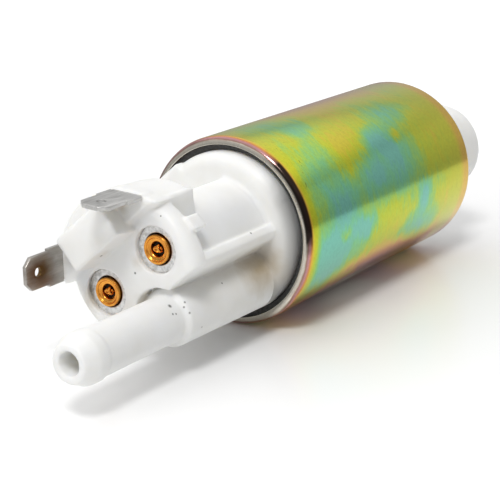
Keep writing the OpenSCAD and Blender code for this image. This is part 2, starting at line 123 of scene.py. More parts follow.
def mixColour(tree, factor, a, b, blend="MIX"):
    node = addNode(tree, "ShaderNodeMix", data_type="RGBA", blend_type=blend)
    for socket, value in ((node.inputs[0], factor), (node.inputs[6], a), (node.inputs[7], b)):
        if isinstance(value, (int, float)):
            socket.default_value = value
        elif isinstance(value, tuple):
            socket.default_value = (*value, 1)
        else:
            tree.links.new(value, socket)
    return node.outputs[2]


def bump(tree, shader, height, strength, distance):
    node = setInputs(addNode(tree, "ShaderNodeBump"), {"Strength": strength, "Distance": distance})
    tree.links.new(height, node.inputs["Height"])
    tree.links.new(node.outputs["Normal"], shader.inputs["Normal"])


# shared effects
def makeGroup(name, inputs, outputs):
    group = bpy.data.node_groups.new(name, "ShaderNodeTree")
    for label, kind, value in inputs:
        socket = group.interface.new_socket(name=label, in_out="INPUT", socket_type=kind)
        if value is not None:
            socket.default_value = value
    for label, kind in outputs:
        group.interface.new_socket(name=label, in_out="OUTPUT", socket_type=kind)
    return group, group.nodes.new("NodeGroupInput"), group.nodes.new("NodeGroupOutput")


def makeSpotGroup():
    # soft round spot with a ragged edge: 1 at its centre, 0 outside its radius
    group, inside, outside = makeGroup("soft spot", [
        ("Vector", "NodeSocketVector", None), ("Centre", "NodeSocketVector", None),
        ("Stretch", "NodeSocketVector", None), ("Radius", "NodeSocketFloat", 0.003),
        ("Ragged", "NodeSocketFloat", 0.3), ("Grain", "NodeSocketFloat", 900.0)],
        [("Mask", "NodeSocketFloat")])
    offset = addNode(group, "ShaderNodeVectorMath", operation="SUBTRACT")
    group.links.new(inside.outputs["Vector"], offset.inputs[0])
    group.links.new(inside.outputs["Centre"], offset.inputs[1])
    stretched = addNode(group, "ShaderNodeVectorMath", operation="MULTIPLY")
    group.links.new(offset.outputs[0], stretched.inputs[0])
    group.links.new(inside.outputs["Stretch"], stretched.inputs[1])
    length = addNode(group, "ShaderNodeVectorMath", operation="LENGTH")
    group.links.new(stretched.outputs[0], length.inputs[0])
    grain = addNode(group, "ShaderNodeTexNoise")
    group.links.new(inside.outputs["Vector"], grain.inputs["Vector"])
    group.links.new(inside.outputs["Grain"], grain.inputs["Scale"])
    ratio = calc(group, "DIVIDE", length.outputs["Value"], inside.outputs["Radius"])
    wobble = calc(group, "MULTIPLY", calc(group, "SUBTRACT", grain.outputs["Fac"], 0.5), inside.outputs["Ragged"])
    fade = calc(group, "SUBTRACT", 1.0, calc(group, "ADD", ratio, calc(group, "MULTIPLY", wobble, 4.0)), clamp=True)
    group.links.new(fade, outside.inputs["Mask"])
    return group


softSpot = makeSpotGroup()


def spot(tree, vector, centre, radius, stretch=(1, 1, 1), ragged=0.3, grain=900.0):
    node = addNode(tree, "ShaderNodeGroup", node_tree=softSpot)
    tree.links.new(vector, node.inputs["Vector"])
    setInputs(node, {"Centre": centre, "Stretch": stretch, "Radius": radius, "Ragged": ragged, "Grain": grain})
    return node.outputs["Mask"]


def spotSum(tree, vector, spots):
    total = None
    for place in spots:
        mask = calc(tree, "MULTIPLY", spot(tree, vector, *place["at"]), place.get("strength", 1.0))
        total = mask if total is None else calc(tree, "MAXIMUM", total, mask)
    return total


def makeScratchGroup():
    # fine scratches along one direction, and blotches, for sheet metal
    group, inside, outside = makeGroup("fine wear", [
        ("Vector", "NodeSocketVector", None), ("Fine", "NodeSocketFloat", 4000.0),
        ("Blotch", "NodeSocketFloat", 300.0)], [("Scratches", "NodeSocketFloat"), ("Blotches", "NodeSocketFloat")])
    fine = setInputs(addNode(group, "ShaderNodeTexNoise"), {"Detail": 3.0, "Roughness": 0.7})
    blotch = setInputs(addNode(group, "ShaderNodeTexNoise"), {"Detail": 5.0, "Roughness": 0.6})
    for node, label in ((fine, "Fine"), (blotch, "Blotch")):
        group.links.new(inside.outputs["Vector"], node.inputs["Vector"])
        group.links.new(inside.outputs[label], node.inputs["Scale"])
    group.links.new(fine.outputs["Fac"], outside.inputs["Scratches"])
    group.links.new(blotch.outputs["Fac"], outside.inputs["Blotches"])
    return group


fineWear = makeScratchGroup()


def wear(tree, vector, fine, blotch):
    node = addNode(tree, "ShaderNodeGroup", node_tree=fineWear)
    tree.links.new(vector, node.inputs["Vector"])
    setInputs(node, {"Fine": fine, "Blotch": blotch})
    return node.outputs["Scratches"], node.outputs["Blotches"]


print("node groups ready")

can = {"radius": 19.0, "length": 69.8, "wall": 1.0, "lip": 17.4, "roll": 1.5, "edge": 0.42}


# materials
# the zinc film's thickness picks its colour: bare at the roll, through pink and yellow to teal. Patches push it
# thicker (+) or thinner (-), each at an angle round the can and a distance in mm from the outlet lip, so wide
# round the can and so long
zincFilm = {
    "stops": [(0.0, (0.66, 0.62, 0.54)), (0.06, (0.30, 0.17, 0.12)), (0.12, (0.52, 0.27, 0.30)), (0.19, (0.68, 0.28, 0.10)),
              (0.27, (0.76, 0.50, 0.05)), (0.38, (0.61, 0.60, 0.02)), (0.50, (0.53, 0.62, 0.03)), (0.62, (0.36, 0.62, 0.11)),
              (0.74, (0.26, 0.60, 0.21)), (0.87, (0.21, 0.59, 0.32)), (1.0, (0.20, 0.55, 0.44))],
    "fromLip": [(0.0, 0.0), (0.014, 0.01), (0.03, 0.08), (0.06, 0.15), (0.11, 0.27), (0.17, 0.38), (0.32, 0.50), (0.7, 0.57), (1.0, 0.55)],
    "roughness": 0.17, "coat": 0.12, "cloudScale": 130, "mottleScale": 520, "wobble": 0.0075, "thinnest": 0.34, "inletLeast": 0.26,
    "patches": [
        # painted sheen: the patches at 104 and -62 degrees push the film thinner, towards the pink and mauve it shows
        # at grazing view
        (92, 14, 9, 12, 0.22), (104, 34, 9, 40, -0.34), (78, 31, 8, 10, -0.18), (83, 51, 9, 9, -0.14), (71, 17, 4, 8, 0.14),
        (69, 9, 4, 5, -0.10), (46, 14, 6, 8, 0.24), (50, 23, 7, 11, -0.24), (61, 48, 5, 10, 0.28), (46, 36, 5, 8, 0.26),
        (45, 43, 2.4, 4, -0.34), (33, 38, 9, 13, 0.40), (18, 15, 6, 8, 0.42), (23, 27, 7, 8, 0.36), (29, 8, 7, 8, 0.22),
        (38, 61, 12, 15, -0.14), (12, 39, 5, 9, 0.12), (-8, 11, 9, 14, 0.48), (-20, 8, 8, 10, 0.24), (-4, 14, 2, 3, -0.36),
        (-3, 22, 4, 6, 0.40), (-11, 35, 7, 10, -0.12), (1, 48, 4.5, 4.5, 0.46), (-22, 47, 7, 10, 0.44), (-12, 59, 10, 12, -0.10),
        (-29, 30, 4, 14, -0.30), (-36, 46, 6, 18, -0.34), (-43, 20, 6, 14, 0.10), (62, 3.2, 9, 2.4, -0.16),
        (140, 30, 14, 18, 0.30), (170, 48, 14, 14, -0.2), (205, 20, 13, 15, 0.34), (240, 44, 14, 15, 0.30), (-62, 22, 13, 24, -0.40),
        (-85, 50, 12, 12, -0.2)],
    # painted reflection: where the roll is painted almost black for the dark room it would mirror
    "paintedDarkReflection": ((0.0162, -0.0345, 0.0085), 0.0115, (1, 1, 1), 0.1, 300.0),
    # painted sheen: these spots push the film towards pink and mauve along the underside and the top line, the colour
    # it shows at grazing view
    "thin": [{"at": ((0.011, 0.0, -0.0165), 0.012, (1, 0.28, 1), 0.0), "strength": 1.0},
             {"at": ((-0.007, 0.004, 0.0186), 0.010, (1, 0.25, 1), 0.04, 300.0), "strength": 0.42}]}


def makeZinc():
    mat, tree = newMaterial("yellow zinc")
    shader = surface(tree, {"Metallic": 1.0, "Roughness": zincFilm["roughness"], "Coat Weight": zincFilm["coat"],
                            "Coat Roughness": 0.12, "Coat IOR": 1.5})
    plain = objectCoords(tree)
    clouds = noise(tree, objectCoords(tree, scale=(0.8, 1.1, 0.8)), zincFilm["cloudScale"], 3.0, 0.5, 0.4)
    mottle = noise(tree, objectCoords(tree, scale=(0.5, 1.6, 0.5)), zincFilm["mottleScale"], 5.0, 0.68)
    fine = noise(tree, plain, 2600, 2.0, 0.6)
    torn = setInputs(addNode(tree, "ShaderNodeTexNoise"), {"Scale": 190.0, "Detail": 5.0, "Roughness": 0.66})
    tree.links.new(objectCoords(tree, scale=(0.55, 1.8, 0.55)), torn.inputs["Vector"])
    centred = addNode(tree, "ShaderNodeVectorMath", operation="SUBTRACT")
    tree.links.new(torn.outputs["Color"], centred.inputs[0])
    centred.inputs[1].default_value = (0.5, 0.5, 0.5)
    wobbly = addNode(tree, "ShaderNodeVectorMath", operation="MULTIPLY_ADD")   # gives the patches their torn outlines
    tree.links.new(centred.outputs[0], wobbly.inputs[0])
    wobbly.inputs[1].default_value = (zincFilm["wobble"],) * 3
    tree.links.new(plain, wobbly.inputs[2])
    split = addNode(tree, "ShaderNodeSeparateXYZ")
    tree.links.new(plain, split.inputs[0])
    # the film thins over a longer stretch at the inlet end
    outletEnd = calc(tree, "ADD", pump["canLength"] / 2 * mm, split.outputs["Y"])
    inletEnd = calc(tree, "MULTIPLY", calc(tree, "SUBTRACT", pump["canLength"] / 2 * mm, split.outputs["Y"]), 0.4)
    fromEnd = calc(tree, "MINIMUM", outletEnd, inletEnd)
    uneven = calc(tree, "MULTIPLY", calc(tree, "SUBTRACT", mottle, 0.5), 0.0003)
    film = ramp(tree, calc(tree, "DIVIDE", calc(tree, "ADD", fromEnd, uneven), 0.012), zincFilm["fromLip"])
    film = calc(tree, "MAXIMUM", film, calc(tree, "MULTIPLY", calc(tree, "GREATER_THAN", split.outputs["Y"], 0.0), zincFilm["inletLeast"]))
    field = ramp(tree, calc(tree, "DIVIDE", fromEnd, 0.006), [(0.25, 0.0), (0.75, 1.0)])
    pushes = None
    for angle, place, wide, long, push in zincFilm["patches"]:
        turn = math.radians(angle)
        centre = (can["radius"] * math.cos(turn) * mm, (place - pump["canLength"] / 2) * mm, can["radius"] * math.sin(turn) * mm)
        mask = spot(tree, wobbly.outputs[0], centre, wide * mm, (1, wide / long, 1), 0.0)
        pushes = calc(tree, "MULTIPLY_ADD", mask, push * 1.25, pushes if pushes is not None else 0.0)
    pushes = calc(tree, "ADD", pushes, calc(tree, "MULTIPLY", calc(tree, "SUBTRACT", clouds, 0.5), 0.36))
    pushes = calc(tree, "ADD", pushes, calc(tree, "MULTIPLY", calc(tree, "SUBTRACT", mottle, 0.5), 0.42))
    pushed = calc(tree, "MAXIMUM", calc(tree, "ADD", film, pushes), zincFilm["thinnest"])
    film = calc(tree, "ADD", film, calc(tree, "MULTIPLY", calc(tree, "SUBTRACT", pushed, film), field), clamp=True)
    # painted sheen: pink and mauve along the top line and the underside
    film = calc(tree, "SUBTRACT", film, calc(tree, "MULTIPLY", spotSum(tree, plain, zincFilm["thin"]), 0.5), clamp=True)
    colour = ramp(tree, film, zincFilm["stops"])
    specks = ramp(tree, noise(tree, objectCoords(tree, scale=(0.6, 1.6, 0.6)), 900, 2.0, 0.5), [(0.66, 0.0), (0.72, 1.0)])
    grain = noise(tree, objectCoords(tree, scale=(0.8, 1.3, 0.8)), 1500, 4.0, 0.75)
    colour = mixColour(tree, 1.0, colour, ramp(tree, grain, [(0.36, 0.90), (0.56, 1.02)]), "MULTIPLY")
    nearLip = calc(tree, "MULTIPLY", spot(tree, plain, (0.0123, -0.0305, 0.0143), 0.009, ragged=0.0), specks)
    colour = mixColour(tree, nearLip, colour, (0.06, 0.05, 0.02))
    # painted reflection: the upper right of the roll is painted almost black, as the mirror image of a dark room
    paintedDarkReflection = ramp(tree, calc(tree, "DIVIDE", fromEnd, 0.012), [(0.004, 0.0), (0.014, 1.0), (0.085, 1.0), (0.12, 0.0)])
    paintedDarkReflection = calc(tree, "MULTIPLY", paintedDarkReflection, ramp(tree, spot(tree, plain, *zincFilm["paintedDarkReflection"]), [(0.0, 0.0), (0.3, 0.97)]))
    colour = mixColour(tree, paintedDarkReflection, colour, (0.008, 0.006, 0.004))
    tree.links.new(colour, shader.inputs["Base Color"])
    rough = calc(tree, "ADD", zincFilm["roughness"] - 0.05, calc(tree, "MULTIPLY", fine, 0.10))
    tree.links.new(rough, shader.inputs["Roughness"])
    bump(tree, shader, fine, 0.10, 0.00002)
    return mat


# painted shade on the disc's flank beside the seal, with the dark seal's reflection painted in, and stains with painted
# shade on the cap: places in metres in the pump's own frame
paintedFlankShade = ((0.0155, -0.0355, -0.002), 0.016, (1, 1, 1), 0.05, 300.0)


def makeWhitePlastic(name="white acetal", stainsAndShade=(), specks=()):
    mat, tree = newMaterial(name)
    shader = surface(tree, {"Roughness": 0.42, "Specular IOR Level": 0.45, "Subsurface Weight": 0.55,
                            "Subsurface Radius": (0.0034, 0.0032, 0.0028), "Subsurface Scale": 1.0})
    plain = objectCoords(tree)
    clouds = noise(tree, plain, 160, 3.0)
    colour = ramp(tree, clouds, [(0.3, (0.86, 0.855, 0.83)), (0.7, (0.90, 0.90, 0.885))])
    split = addNode(tree, "ShaderNodeVectorMath", operation="LENGTH")
    tree.links.new(objectCoords(tree, scale=(1, 0, 1)), split.inputs[0])
    # painted shade and painted reflection: the disc's flank darkens towards the seal
    flank = ramp(tree, calc(tree, "DIVIDE", split.outputs["Value"], 0.02), [(0.58, 0.0), (0.72, 0.14), (0.80, 0.9)], smooth=True)
    flank = calc(tree, "MULTIPLY", flank, ramp(tree, spot(tree, plain, *paintedFlankShade), [(0.0, 0.0), (0.35, 1.0)]))
    height = addNode(tree, "ShaderNodeSeparateXYZ")
    tree.links.new(plain, height.inputs[0])
    flank = calc(tree, "MULTIPLY", flank, calc(tree, "GREATER_THAN", height.outputs["Y"], -0.0378))
    colour = mixColour(tree, flank, colour, (0.24, 0.24, 0.235))
    # brown stains, with painted shade under the ledge and on the lower head face
    if stainsAndShade:
        colour = mixColour(tree, spotSum(tree, plain, stainsAndShade), colour, (0.42, 0.33, 0.20))
    if specks:
        colour = mixColour(tree, spotSum(tree, plain, specks), colour, (0.05, 0.045, 0.035))
    tree.links.new(colour, shader.inputs["Base Color"])
    fine = noise(tree, plain, 3200, 3.0)
    rough = calc(tree, "ADD", 0.36, calc(tree, "MULTIPLY", fine, 0.14))
    tree.links.new(rough, shader.inputs["Roughness"])
    bump(tree, shader, fine, 0.15, 0.00003)
    return mat


def makeMetal(name, dark, light, roughness=0.3, fineScale=(1, 1, 1), fine=4000, blotch=300, bumps=0.1,
              metallic=1.0, paintedShadeBehind=None):
    mat, tree = newMaterial(name)
    shader = surface(tree, {"Metallic": metallic, "Roughness": roughness})
    scratches, blotches = wear(tree, objectCoords(tree, scale=fineScale), fine, blotch)
    colour = mixColour(tree, ramp(tree, blotches, [(0.3, 0.0), (0.7, 1.0)]), dark, light)
    # painted shade: everything deeper than the given depth, the bottom of the plug's pit and what lies behind it, is
    # painted almost black
    if paintedShadeBehind:
        depth = addNode(tree, "ShaderNodeSeparateXYZ")
        tree.links.new(objectCoords(tree), depth.inputs[0])
        colour = mixColour(tree, calc(tree, "GREATER_THAN", depth.outputs["Y"], paintedShadeBehind), colour, (0.012, 0.010, 0.008))
    tree.links.new(colour, shader.inputs["Base Color"])
    rough = calc(tree, "ADD", roughness - 0.08, calc(tree, "MULTIPLY", scratches, 0.18))
    tree.links.new(rough, shader.inputs["Roughness"])
    bump(tree, shader, scratches, bumps, 0.00003)
    return mat


def makeTin():
    # tin-plated steel, with a brown heat tint on the lower blade
    mat, tree = newMaterial("tin plate")
    shader = surface(tree, {"Metallic": 1.0, "Roughness": 0.34})
    plain = objectCoords(tree)
    scratches, blotches = wear(tree, objectCoords(tree, scale=(3.0, 0.35, 3.0)), 1800, 500)
    colour = mixColour(tree, ramp(tree, blotches, [(0.32, 0.0), (0.68, 1.0)]), (0.44, 0.435, 0.42), (0.66, 0.655, 0.64))
    depth = addNode(tree, "ShaderNodeSeparateXYZ")
    tree.links.new(plain, depth.inputs[0])
    rings = calc(tree, "GREATER_THAN", depth.outputs["Y"], -0.0652)
    bright = mixColour(tree, ramp(tree, blotches, [(0.36, 0.0), (0.6, 1.0)]), (0.52, 0.52, 0.51), (0.78, 0.78, 0.77))
    colour = mixColour(tree, rings, colour, bright)
    tint = spotSum(tree, plain, heatTint)
    colour = mixColour(tree, tint, colour, (0.13, 0.075, 0.028))
    tree.links.new(colour, shader.inputs["Base Color"])
    rough = calc(tree, "ADD", 0.26, calc(tree, "MULTIPLY", scratches, 0.2))
    tree.links.new(rough, shader.inputs["Roughness"])
    bump(tree, shader, scratches, 0.12, 0.00003)
    return mat


def makeRubber():
    mat, tree = newMaterial("seal rubber")
    shader = surface(tree, {"Roughness": 0.6})
    grains = noise(tree, objectCoords(tree), 1500, 4.0)
    tree.links.new(ramp(tree, grains, [(0.3, (0.035, 0.036, 0.035)), (0.7, (0.085, 0.088, 0.086))]), shader.inputs["Base Color"])
    bump(tree, shader, grains, 0.2, 0.00004)
    return mat


heatTint = [{"at": ((-0.0148, -0.0737, -0.0002), 0.0050, (1, 0.8, 1), 0.06, 500.0), "strength": 1.25},
            {"at": ((-0.0148, -0.0720, 0.0), 0.018, (1, 1, 1), 0.1, 500.0), "strength": 0.3}]
capStainsAndShade = [
    # a stain strengthened into painted shade in the corner between the ledge and the boss
    {"at": ((0.0110, -0.0405, -0.0044), 0.0062, (1, 0.7, 1), 0.08, 500.0), "strength": 1.0},
    # painted shade along the boss's top under the ledge
    {"at": ((0.0108, -0.0470, -0.0030), 0.0110, (1, 0.6, 1.3), 0.05, 300.0), "strength": 0.22},
    {"at": ((0.0017, -0.0640, -0.0052), 0.0028, (1, 1, 1), 0.12, 500.0), "strength": 0.45},
    {"at": ((-0.0097, -0.0655, -0.0072), 0.0030, (1, 1, 1), 0.15, 600.0), "strength": 0.45},
    {"at": ((0.0020, -0.0657, 0.0022), 0.0020, (1, 1, 1), 0.15, 600.0), "strength": 0.35},
    {"at": ((-0.0004, -0.0673, 0.0125), 0.0018, (1, 1, 1), 0.2, 700.0), "strength": 0.4},
    {"at": ((-0.0040, -0.0683, 0.0034), 0.0020, (1, 1, 1), 0.2, 700.0), "strength": 0.3},
    # painted shade with some dirt on the lower head face beside the boss
    {"at": ((-0.0010, -0.0655, -0.0070), 0.0046, (1, 1, 1), 0.1, 400.0), "strength": 0.25}]
capSpecks = [{"at": (place, size, (1, 1, 1), 0.0), "strength": 1.2} for place, size in (
    ((0.0096, -0.0670, -0.0044), 0.0005), ((0.0109, -0.0642, -0.0042), 0.0003), ((0.0110, -0.0647, -0.0050), 0.00028),
    ((0.0120, -0.0643, -0.0060), 0.0003), ((0.0107, -0.0676, -0.0055), 0.00028), ((0.0108, -0.0668, -0.0057), 0.00025),
    ((-0.0045, -0.0683, 0.0029), 0.0004), ((0.0012, -0.0659, 0.0), 0.0003), ((0.0070, -0.0656, 0.0114), 0.0002),
    ((0.0108, -0.0524, -0.0039), 0.00025), ((0.0121, -0.0447, 0.0040), 0.0003), ((0.0122, -0.0610, -0.0096), 0.0002))]
zinc = makeZinc()
whitePlastic = makeWhitePlastic("white acetal", capStainsAndShade, capSpecks)
tin = makeTin()
rubber = makeRubber()
# the plug copper's pit bottom and back are painted almost black as shade
copper = makeMetal("plug copper", (0.62, 0.22, 0.035), (0.86, 0.40, 0.07), 0.22, blotch=700, paintedShadeBehind=-0.06455)
finishes = {
    "can": zinc, "outlet_cap": whitePlastic, "inlet_cover": whitePlastic, "outlet_seal": rubber, "inlet_seal": rubber,
    "terminal_upper": tin, "terminal_lower": tin, "plug_upper": copper, "plug_lower": copper}
carbon = makeMetal("brush carbon", (0.04, 0.04, 0.042), (0.09, 0.09, 0.09), 0.5, metallic=0.3)
spring = makeMetal("spring steel", (0.48, 0.48, 0.49), (0.62, 0.62, 0.63), 0.3)
braid = makeMetal("shunt copper", (0.48, 0.20, 0.09), (0.66, 0.33, 0.16), 0.4, fine=9000, bumps=0.5)
brass = makeMetal("valve brass", (0.60, 0.44, 0.16), (0.76, 0.60, 0.26), 0.3)
bronze = makeMetal("bearing bronze", (0.36, 0.24, 0.11), (0.54, 0.38, 0.19), 0.5, bumps=0.4)
steel = makeMetal("shaft steel", (0.52, 0.53, 0.54), (0.66, 0.67, 0.68), 0.2)
lamination = makeMetal("core laminations", (0.20, 0.20, 0.21), (0.36, 0.36, 0.37), 0.4, fineScale=(0.05, 6, 0.05), fine=900, bumps=0.6)
winding = makeMetal("winding copper", (0.40, 0.13, 0.05), (0.62, 0.27, 0.10), 0.3, fineScale=(1, 6, 1), fine=900, bumps=0.6)
ferrite = makeMetal("magnet ferrite", (0.07, 0.07, 0.075), (0.14, 0.14, 0.145), 0.6, metallic=0.2, bumps=0.3)
aluminium = makeMetal("plate aluminium", (0.54, 0.54, 0.55), (0.70, 0.70, 0.71), 0.35)
resin = makeMetal("impeller resin", (0.13, 0.06, 0.03), (0.24, 0.12, 0.06), 0.45, metallic=0.0)
ivory = makeMetal("poppet plastic", (0.62, 0.58, 0.48), (0.76, 0.73, 0.64), 0.4, metallic=0.0)
finishes.update({
    "brush_upper": carbon, "brush_lower": carbon, "spring_upper": spring, "spring_lower": spring,
    "shunt_upper": braid, "shunt_lower": braid, "valve_seat": brass, "valve_poppet": ivory, "valve_spring": spring,
    "front_bearing": bronze, "rear_bearing": bronze, "shaft": steel, "commutator": braid, "armature_core": lamination,
    "windings": winding, "magnet_upper": ferrite, "magnet_lower": ferrite, "clip_left": spring, "clip_right": spring,
    "pump_plate": aluminium, "impeller": resin})
for name, mat in finishes.items():
    nodes[name].data.materials.clear()
    nodes[name].data.materials.append(mat)
print("materials ready:", len(bpy.data.materials))


# mesh helpers
def finishPiece(name, bm, mats, body="housing", angle=32, place=layDown, replaced=()):
    if place is not None:
        bmesh.ops.transform(bm, matrix=place, verts=bm.verts)
    mesh = bpy.data.meshes.new(name)
    bm.to_mesh(mesh)
    bm.free()
    for mat in mats:
        mesh.materials.append(mat)
    mesh.shade_smooth()
    mesh.set_sharp_from_angle(angle=math.radians(angle))
    obj = bpy.data.objects.new(name, mesh)
    scene.collection.objects.link(obj)
    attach(obj, body)
    if replaced:
        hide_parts(*replaced)
    return obj


def spinProfile(points, rounds, steps=160, centre=(0, 0), closed=True, segments=6):
    # turns an outline of (radius, height) points in mm about the upright axis, its corners rounded first
    bm = bmesh.new()
    verts = [bm.verts.new((r * mm, 0, h * mm)) for r, h in points]
    last = len(verts) if closed else len(verts) - 1
    edges = [bm.edges.new((verts[i], verts[(i + 1) % len(verts)])) for i in range(last)]
    for radius in sorted(set(rounds.values()), reverse=True):
        corners = [verts[i] for i, value in rounds.items() if value == radius]
        bmesh.ops.bevel(bm, geom=corners, offset=radius * mm, offset_type="OFFSET", segments=segments, profile=0.5,
                        affect="VERTICES", material=-1)
    bmesh.ops.spin(bm, geom=bm.verts[:] + bm.edges[:], cent=(0, 0, 0), axis=(0, 0, 1), angle=math.tau, steps=steps,
                   use_merge=True, use_duplicate=False)
    bmesh.ops.remove_doubles(bm, verts=bm.verts, dist=1e-7)
    bmesh.ops.translate(bm, vec=(centre[0] * mm, centre[1] * mm, 0), verts=bm.verts)
    bmesh.ops.recalc_face_normals(bm, faces=bm.faces)
    return bm


def softCopy(nodeName, name, voxel, smooth, mats, factor=0.5, fills=(), share=1.0):
    # a copy of the node with every edge softened, as a moulding has it; fills close slots that a terminal fills
    bm = bmesh.new()
    bm.from_mesh(nodes[nodeName].data)
    bmesh.ops.remove_doubles(bm, verts=bm.verts, dist=2e-6)
    for turn, centre, size in fills:
        box = bmesh.ops.create_cube(bm, size=mm)["verts"]
        bmesh.ops.scale(bm, verts=box, vec=size)
        bmesh.ops.translate(bm, verts=box, vec=[value * mm for value in centre])
        bmesh.ops.transform(bm, verts=box, matrix=layDown @ Matrix.Rotation(math.radians(turn), 4, "Z"))
    mesh = bpy.data.meshes.new(name)
    bm.to_mesh(mesh)
    bm.free()
    rough = bpy.data.objects.new(name + " rough", mesh)
    scene.collection.objects.link(rough)
    remesh = rough.modifiers.new("soften", "REMESH")
    remesh.mode = "VOXEL"
    remesh.voxel_size = voxel * mm
    remesh.adaptivity = 0.0
    relax = rough.modifiers.new("relax", "SMOOTH")
    relax.factor = factor
    relax.iterations = smooth
    if share < 1.0:
        rough.modifiers.new("thin", "DECIMATE").ratio = share
    graph = bpy.context.evaluated_depsgraph_get()
    baked = bpy.data.meshes.new_from_object(rough.evaluated_get(graph))
    bpy.data.objects.remove(rough)
    baked.name = name
    baked.materials.clear()
    for mat in mats:
        baked.materials.append(mat)
    baked.shade_smooth()
    obj = bpy.data.objects.new(name, baked)
    scene.collection.objects.link(obj)
    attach(obj, "housing")
    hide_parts(nodeName)
    print(name, len(baked.polygons), "faces")
    return obj


def bevelCopy(nodeName, name, width, mats, segments=2, angle=30):
    bm = bmesh.new()
    bm.from_mesh(nodes[nodeName].data)
    bmesh.ops.remove_doubles(bm, verts=bm.verts, dist=2e-6)
    bmesh.ops.dissolve_limit(bm, angle_limit=math.radians(0.4), verts=bm.verts, edges=bm.edges)
    sharp = [e for e in bm.edges if e.is_manifold and e.calc_face_angle(0) > math.radians(angle)]
    bmesh.ops.bevel(bm, geom=sharp, offset=width * mm, offset_type="OFFSET", segments=segments, profile=0.5,
                    affect="EDGES", material=-1, clamp_overlap=False)
    return finishPiece(name, bm, mats, place=None, replaced=(nodeName,), angle=25)


# can


def makeCan():
    r, l, w = can["radius"], can["length"], can["wall"]
    outline = [(can["lip"], -w), (can["lip"], 0), (r, 0), (r, -l), (can["lip"], -l), (can["lip"], -l + w),
               (r - w, -l + w), (r - w, -w)]
    bm = spinProfile(outline, {2: can["roll"], 3: can["roll"], 0: 0.3, 1: can["edge"], 4: can["edge"], 5: 0.3},
                     steps=224, segments=8)
    return finishPiece("zincCan", bm, [zinc], replaced=("can",), angle=40)


makeCan()

# cap, seals, terminals
bladeSeat = {"turns": (46, 140), "centre": (14.85, 0, 30.7), "size": (1.1, 6.6, 3.2)}
softCopy("outlet_cap", "outletCap", 0.27, 8, [whitePlastic],
         fills=[(turn, bladeSeat["centre"], bladeSeat["size"]) for turn in bladeSeat["turns"]], share=0.56)
softCopy("inlet_cover", "inletCover", 0.45, 4, [whitePlastic])
bevelCopy("terminal_upper", "terminalUpper", 0.12, [tin])
bevelCopy("terminal_lower", "terminalLower", 0.12, [tin])

seal = {"inner": 16.2, "outer": 17.9, "thick": 2.0, "bulge": 0.5}
for name, top in (("outletSeal", -1.0), ("inletSeal", -pump["canLength"] + 1.0 + seal["thick"])):
    bm = spinProfile([(seal["inner"], top - seal["thick"]), (seal["inner"], top), (seal["outer"], top),
                      (seal["outer"], top - seal["thick"])], {0: 0.2, 1: 0.45, 2: 0.1, 3: 0.1}, steps=160)
    finishPiece(name, bm, [rubber], replaced=("outlet_seal" if name == "outletSeal" else "inlet_seal",))
print("can, cap, seals and terminals ready")

# plugs
plug = {"offset": 7.55, "face": 30.65, "radius": 2.72, "rim": 0.6, "pit": 1.5, "well": 2.95,
        "shelf": 29.2, "back": 27.8}


def makePlug(side, name, nodeName):
    f, r = plug["face"], plug["radius"]
    outline = [(0.0, f - 1.15), (plug["pit"] - 0.2, f - 1.15), (plug["pit"], f - 0.35), (r - plug["rim"], f - 0.3), (r - plug["rim"] + 0.12, f),
               (r, f), (r, plug["shelf"]), (plug["well"], plug["shelf"]), (plug["well"], plug["back"]), (0.0, plug["back"])]
    bm = spinProfile(outline, {1: 0.2, 2: 0.25, 3: 0.15, 4: 0.12, 5: 0.15}, steps=96, centre=(side * plug["offset"], 0), closed=False,
                     segments=4)
    knot = bmesh.new()
    for turn, (dx, dy, dz) in enumerate(((-0.35, 0.2, -0.75), (0.3, -0.25, -0.7), (0.1, 0.45, -0.8))):
        ring = bmesh.ops.create_circle(knot, radius=0.24 * mm, segments=10)
        bmesh.ops.rotate(knot, verts=ring["verts"], cent=(0, 0, 0), matrix=Matrix.Rotation(math.radians(90), 3, "X"))
        bmesh.ops.translate(knot, verts=ring["verts"], vec=(0.42 * mm, 0, 0))
        edges = list({e for v in ring["verts"] for e in v.link_edges})
        made = bmesh.ops.spin(knot, geom=ring["verts"] + edges, cent=(0, 0, 0), axis=(0, 0, 1), angle=math.tau, steps=20,
                              use_merge=True, use_duplicate=False)
        loop = {v for v in knot.verts if v.tag is False}
        bmesh.ops.rotate(knot, verts=list(loop), cent=(0, 0, 0),
                         matrix=Matrix.Rotation(math.radians(35 + 40 * turn), 3, ("X", "Y", "X")[turn]))
        bmesh.ops.translate(knot, verts=list(loop), vec=((side * plug["offset"] + dx) * mm, dy * mm, (f + dz) * mm))
        for v in knot.verts:
            v.tag = True
    bmesh.ops.remove_doubles(knot, verts=knot.verts, dist=1e-7)
    bmesh.ops.recalc_face_normals(knot, faces=knot.faces)
    mesh = bpy.data.meshes.new("knot")
    knot.to_mesh(mesh)
    knot.free()
    bm.from_mesh(mesh)
    return finishPiece(name, bm, [copper], replaced=(nodeName,))


makePlug(1, "plugUpper", "plug_upper")
makePlug(-1, "plugLower", "plug_lower")
print("plugs ready")


def makeSpring(nodeName, name, mat):
    bm = bmesh.new()
    bm.from_mesh(nodes[nodeName].data)
    bmesh.ops.remove_doubles(bm, verts=bm.verts, dist=1e-6)
    obj = finishPiece(name, bm, [mat], place=None, replaced=(nodeName,), angle=40)
    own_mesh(obj)


for side in ("upper", "lower"):
    for kind, mat, slot in (("spring", spring, "spring_steel"), ("shunt", braid, "shunt_copper")):
        makeSpring(f"{kind}_{side}", kind + side.title(),
                   mat)
makeSpring("valve_spring", "valveSpring", spring)
print("springs ready")

# sheet, light and camera
sheet = {"size": 3.0, "level": -0.019, "reach": 0.27, "glow": [(0.04, 0.02), (0.09, 0.10), (0.13, 0.22), (0.30, 0.36), (0.8, 0.5)]}


